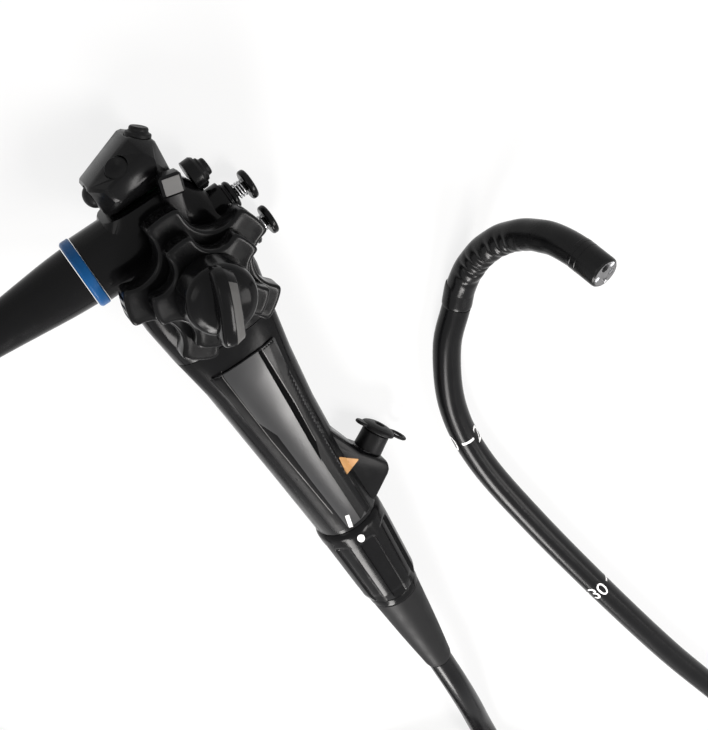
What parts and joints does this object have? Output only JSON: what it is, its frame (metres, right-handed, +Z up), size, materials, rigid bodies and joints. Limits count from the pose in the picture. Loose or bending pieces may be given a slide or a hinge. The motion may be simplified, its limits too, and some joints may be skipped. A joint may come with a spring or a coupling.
{
  "type": "flexible endoscope",
  "caption": "Flexible endoscope: control body with angulation wheels, valves and switches, insertion tube ending in a bending section, and a universal cord with its connector.",
  "frame": {"origin": "on the table under the middle of the box round the control body and bending section", "axes": "+Y along the grip towards the remote switches, +Z up from the table, +X towards the bending section"},
  "size_m": [0.43, 0.5314, 0.0784],
  "materials": {
    "black_satin": "satin",
    "black_gloss": "gloss",
    "steel": "brushed",
    "black_rubber": "matt",
    "fibre": "matt",
    "aluminium": "machined",
    "blue_plastic": "gloss",
    "tip_grey": "matt",
    "grey_panel": "gloss",
    "cord_rubber": "gloss",
    "lens": "polished",
    "brass": "machined",
    "board": "matt"
  },
  "bodies": {
    "control_body": {"air_water_cylinder": "black_gloss", "air_water_spring": "steel", "bending_base": "black_rubber", "boot_collar": "black_gloss", "channel_tube": "fibre", "chassis_plate": "aluminium", "connector_body": "black_gloss", "connector_boot": "black_rubber", "control_post": "steel", "cord_boot": "black_gloss", "cord_ring": "blue_plastic", "electrical_socket": "steel", "grip_panel": "grey_panel", "grip_shell": "black_satin", "insertion_boot": "black_rubber", "insertion_coil": "cord_rubber", "insertion_tube_far": "cord_rubber", "insertion_tube_near": "cord_rubber", "light_guide_bundle": "fibre", "light_guide_pin": "steel", "port_tube": "steel", "port_valve": "black_rubber", "ring_core": "aluminium", "suction_cylinder": "black_gloss", "suction_spring": "steel", "switch_board": "board", "switch_box": "black_satin", "switch_socket": "black_satin", "universal_coil": "cord_rubber", "universal_cord_far": "cord_rubber", "universal_cord_near": "cord_rubber", "upper_housing": "black_gloss"},
    "ud_control": {"ud_knob": "black_satin", "ud_drum": "brass"},
    "rl_control": {"rl_knob": "black_satin", "rl_drum": "brass"},
    "ud_lock": {"ud_lock_lever": "black_satin"},
    "rl_lock": {"rl_lock_knob": "black_gloss"},
    "air_water_button": {"air_water_button": "black_satin"},
    "suction_button": {"suction_button": "black_satin"},
    "switch_1": {"switch_1": "black_rubber"},
    "switch_2": {"switch_2": "black_rubber"},
    "switch_3": {"switch_3": "black_rubber"},
    "switch_4": {"switch_4": "black_rubber"},
    "stiffness_ring": {"stiffness_ring": "black_gloss"},
    "port_lid": {"port_lid": "black_rubber"},
    "bend_1": {"bending_link_1": "steel"},
    "bend_2": {"bending_link_2": "steel"},
    "bend_3": {"bending_link_3": "steel"},
    "bend_4": {"bending_link_4": "steel"},
    "bend_5": {"bending_link_5": "steel"},
    "bend_6": {"bending_link_6": "steel"},
    "bend_7": {"bending_link_7": "steel"},
    "bend_8": {"bending_link_8": "steel"},
    "tip": {"distal_tip": "tip_grey", "objective_lens": "lens", "light_lens_1": "lens", "light_lens_2": "lens", "spray_nozzle": "steel"}
  },
  "joints": [
    {"name": "ud_knob_turn", "type": "hinge", "parent": "control_body", "child": "ud_control", "pos_m": [-0.0295, 0.1005, 0.02107], "axis": [0.342, 0, 0.9397], "range_deg": [-280, 80]},
    {"name": "rl_knob_turn", "type": "hinge", "parent": "control_body", "child": "rl_control", "pos_m": [-0.0295, 0.1005, 0.02107], "axis": [0.342, 0, 0.9397], "range_deg": [-160, 160]},
    {"name": "ud_lock_swing", "type": "hinge", "parent": "control_body", "child": "ud_lock", "pos_m": [-0.0295, 0.1005, 0.02107], "axis": [0.342, 0, 0.9397], "range_deg": [-40, 0]},
    {"name": "rl_lock_turn", "type": "hinge", "parent": "control_body", "child": "rl_lock", "pos_m": [-0.0295, 0.1005, 0.02107], "axis": [0.342, 0, 0.9397], "range_deg": [0, 90]},
    {"name": "air_water_press", "type": "slide", "parent": "control_body", "child": "air_water_button", "axis": [-0.9397, 0, 0.342], "range_m": [0, 0.003], "stiffness_N_per_m": 500, "springref_m": -0.002, "deforming": ["air_water_spring"]},
    {"name": "suction_press", "type": "slide", "parent": "control_body", "child": "suction_button", "axis": [-0.9397, 0, 0.342], "range_m": [0, 0.003], "stiffness_N_per_m": 500, "springref_m": -0.002, "deforming": ["suction_spring"]},
    {"name": "switch_1_press", "type": "slide", "parent": "control_body", "child": "switch_1", "axis": [-0.121, -0.7221, -0.6811], "range_m": [0, 0.001], "stiffness_N_per_m": 800, "springref_m": -0.001},
    {"name": "switch_2_press", "type": "slide", "parent": "control_body", "child": "switch_2", "axis": [0.9397, 0, -0.342], "range_m": [0, 0.001], "stiffness_N_per_m": 800, "springref_m": -0.001},
    {"name": "switch_3_press", "type": "slide", "parent": "control_body", "child": "switch_3", "axis": [-0.5904, -0.7779, 0.2149], "range_m": [0, 0.001], "stiffness_N_per_m": 800, "springref_m": -0.001},
    {"name": "switch_4_press", "type": "slide", "parent": "control_body", "child": "switch_4", "axis": [-0.9385, -0.0499, 0.3416], "range_m": [0, 0.001], "stiffness_N_per_m": 800, "springref_m": -0.001},
    {"name": "stiffness_turn", "type": "hinge", "parent": "control_body", "child": "stiffness_ring", "pos_m": [-0.0295, 0.1005, 0.02107], "axis": [0, 1, 0], "range_deg": [0, 120]},
    {"name": "port_lid_open", "type": "hinge", "parent": "control_body", "child": "port_lid", "pos_m": [0.00526, -0.02832, 0.00842], "axis": [-0.342, 0, -0.9397], "range_deg": [0, 100]},
    {"name": "bend_ud_1", "type": "hinge", "parent": "control_body", "child": "bend_1", "pos_m": [0.0644, 0.02868, 0.0066], "axis": [-0.7031, 0.4393, 0.5592], "range_deg": [-16, 56]},
    {"name": "bend_rl_1", "type": "hinge", "parent": "bend_1", "child": "bend_2", "pos_m": [0.07028, 0.03487, 0.00912], "axis": [0.2644, -0.5685, 0.779], "range_deg": [-40, 40]},
    {"name": "bend_ud_2", "type": "hinge", "parent": "bend_2", "child": "bend_3", "pos_m": [0.07615, 0.04106, 0.01165], "axis": [-0.7031, 0.4393, 0.5592], "range_deg": [-16, 56]},
    {"name": "bend_rl_2", "type": "hinge", "parent": "bend_3", "child": "bend_4", "pos_m": [0.08248, 0.04515, 0.01639], "axis": [0.0227, -0.7721, 0.6351], "range_deg": [-40, 40]},
    {"name": "bend_ud_3", "type": "hinge", "parent": "bend_4", "child": "bend_5", "pos_m": [0.0888, 0.04924, 0.02113], "axis": [-0.7031, 0.4393, 0.5592], "range_deg": [-16, 56]},
    {"name": "bend_rl_3", "type": "hinge", "parent": "bend_5", "child": "bend_6", "pos_m": [0.09481, 0.05072, 0.02752], "axis": [-0.2218, -0.8826, 0.4145], "range_deg": [-40, 40]},
    {"name": "bend_ud_4", "type": "hinge", "parent": "bend_6", "child": "bend_7", "pos_m": [0.10083, 0.05221, 0.03391], "axis": [-0.7031, 0.4393, 0.5592], "range_deg": [-16, 56]},
    {"name": "bend_rl_4", "type": "hinge", "parent": "bend_7", "child": "bend_8", "pos_m": [0.1058, 0.05093, 0.04118], "axis": [-0.4395, -0.8866, 0.144], "range_deg": [-40, 40]},
    {"name": "bend_ud_5", "type": "hinge", "parent": "bend_8", "child": "tip", "pos_m": [0.11078, 0.04964, 0.04845], "axis": [-0.7031, 0.4393, 0.5592], "range_deg": [-16, 56]}
  ],
  "couplings": [
    {"joint": "bend_ud_1", "follows": "ud_knob_turn", "ratio": -0.2},
    {"joint": "bend_ud_2", "follows": "ud_knob_turn", "ratio": -0.2},
    {"joint": "bend_ud_3", "follows": "ud_knob_turn", "ratio": -0.2},
    {"joint": "bend_ud_4", "follows": "ud_knob_turn", "ratio": -0.2},
    {"joint": "bend_ud_5", "follows": "ud_knob_turn", "ratio": -0.2},
    {"joint": "bend_rl_1", "follows": "rl_knob_turn", "ratio": 0.25},
    {"joint": "bend_rl_2", "follows": "rl_knob_turn", "ratio": 0.25},
    {"joint": "bend_rl_3", "follows": "rl_knob_turn", "ratio": 0.25},
    {"joint": "bend_rl_4", "follows": "rl_knob_turn", "ratio": 0.25}
  ]
}
